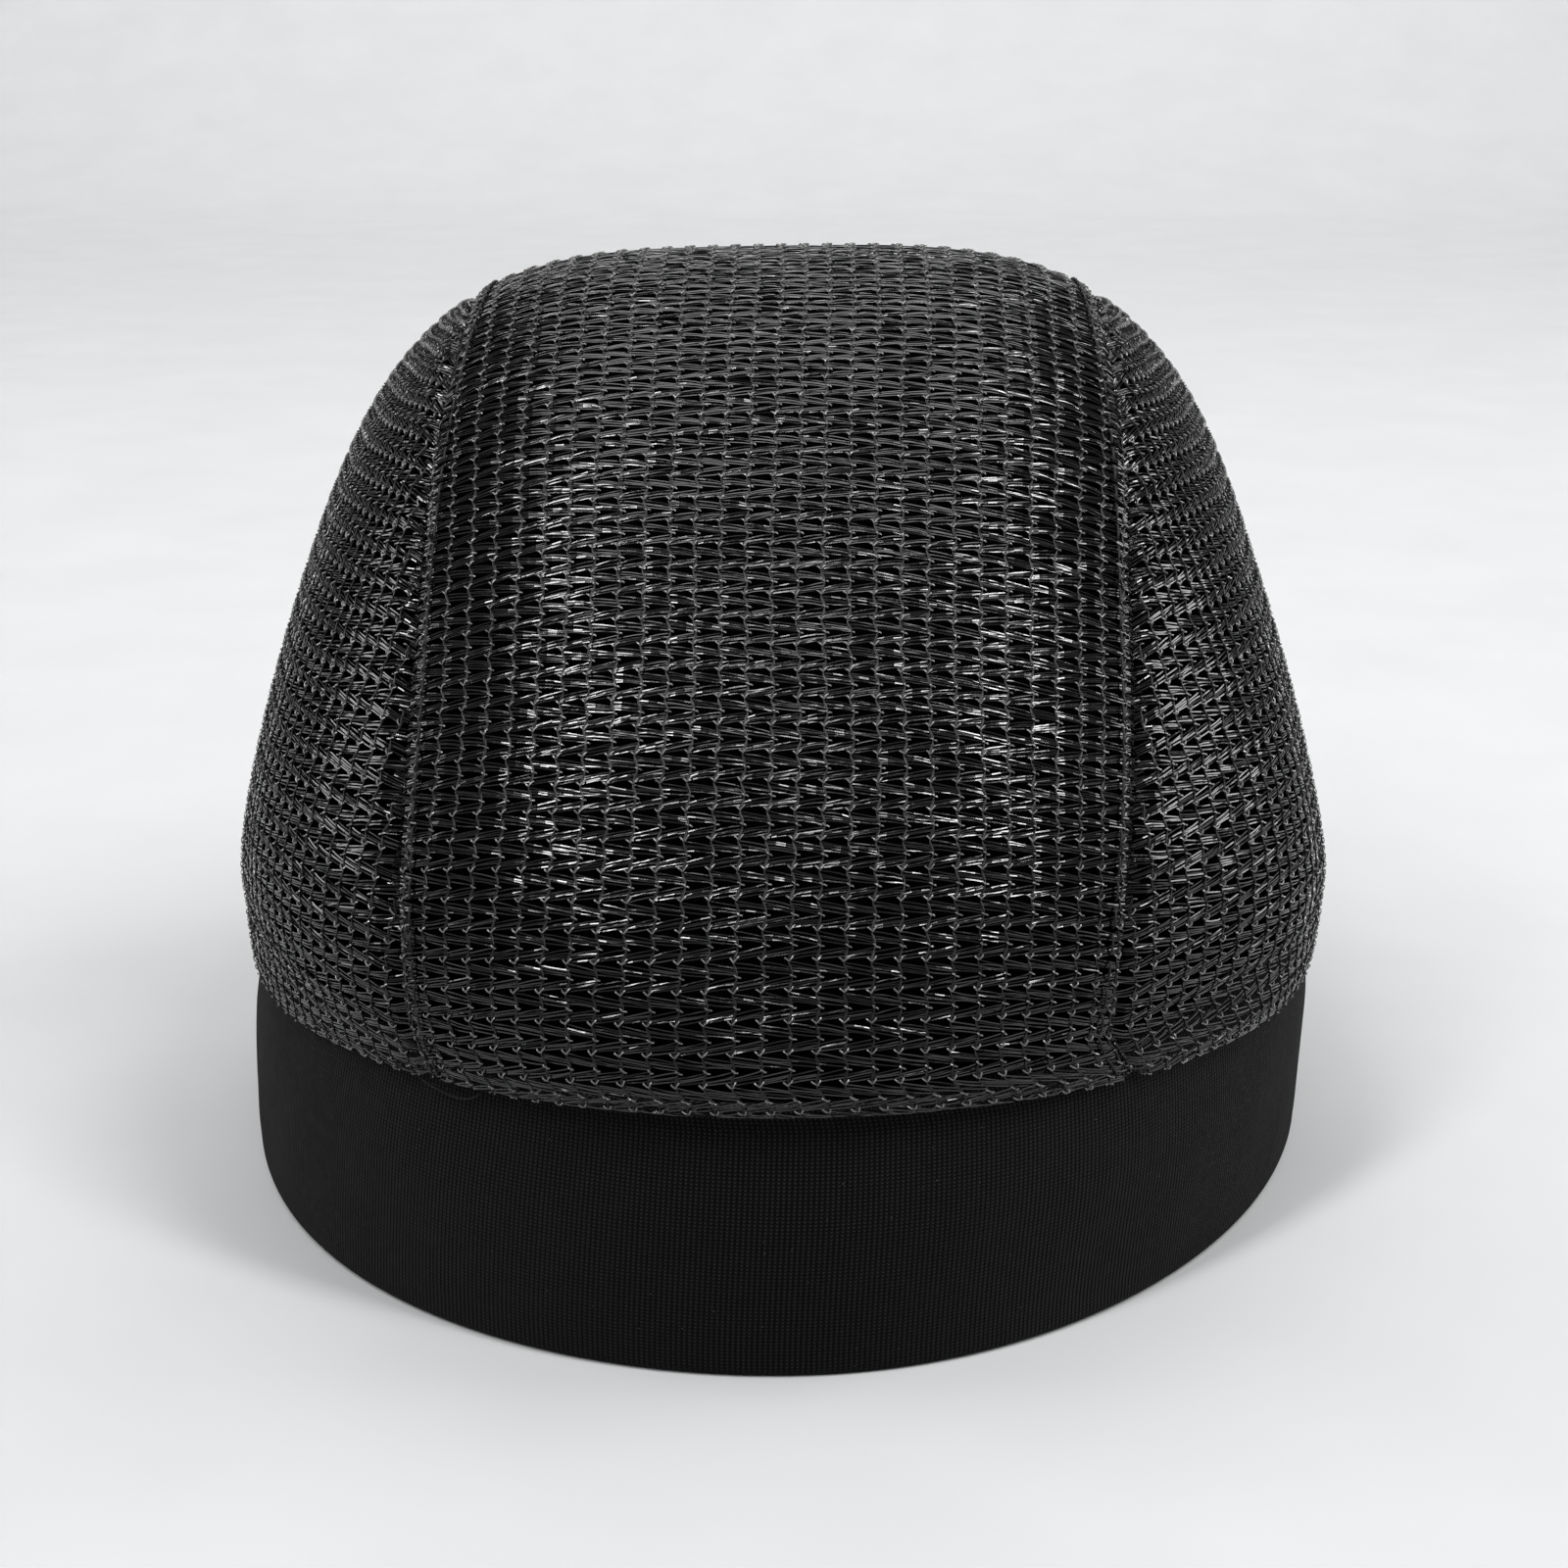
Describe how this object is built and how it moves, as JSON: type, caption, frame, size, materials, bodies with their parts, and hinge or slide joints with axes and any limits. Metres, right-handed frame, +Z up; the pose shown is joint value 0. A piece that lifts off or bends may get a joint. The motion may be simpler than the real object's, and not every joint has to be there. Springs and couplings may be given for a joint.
{
  "type": "mesh skull cap",
  "caption": "Close-fitting lined skull cap of open black mesh in a centre panel and two side panels, on a smooth padded knit headband.",
  "frame": {"origin": "on the ground, under the middle of the cap's box", "axes": "+Z up, the front of the cap faces -Y, +X to the wearer's left"},
  "size_m": [0.1694, 0.1914, 0.132],
  "materials": {
    "net": "glossy black monofilament mesh knit",
    "lining": "matt black fine knit",
    "tape": "matt black knitted tape",
    "jersey": "matt black fine rib jersey",
    "foam": "soft dark grey open-cell foam",
    "thread": "black sewing thread with a slight sheen",
    "label": "blank off-white woven satin"
  },
  "bodies": {
    "root": {"centre_net": "net", "left_net": "net", "right_net": "net", "centre_lining": "lining", "left_lining": "lining", "right_lining": "lining", "left_seam_tape": "tape", "right_seam_tape": "tape", "left_topstitch": "thread", "right_topstitch": "thread", "headband_fabric": "jersey", "headband_foam": "foam", "rim_binding": "tape", "band_join_thread": "thread", "band_back_thread": "thread", "care_label": "label", "label_thread": "thread"}
  },
  "joints": []
}
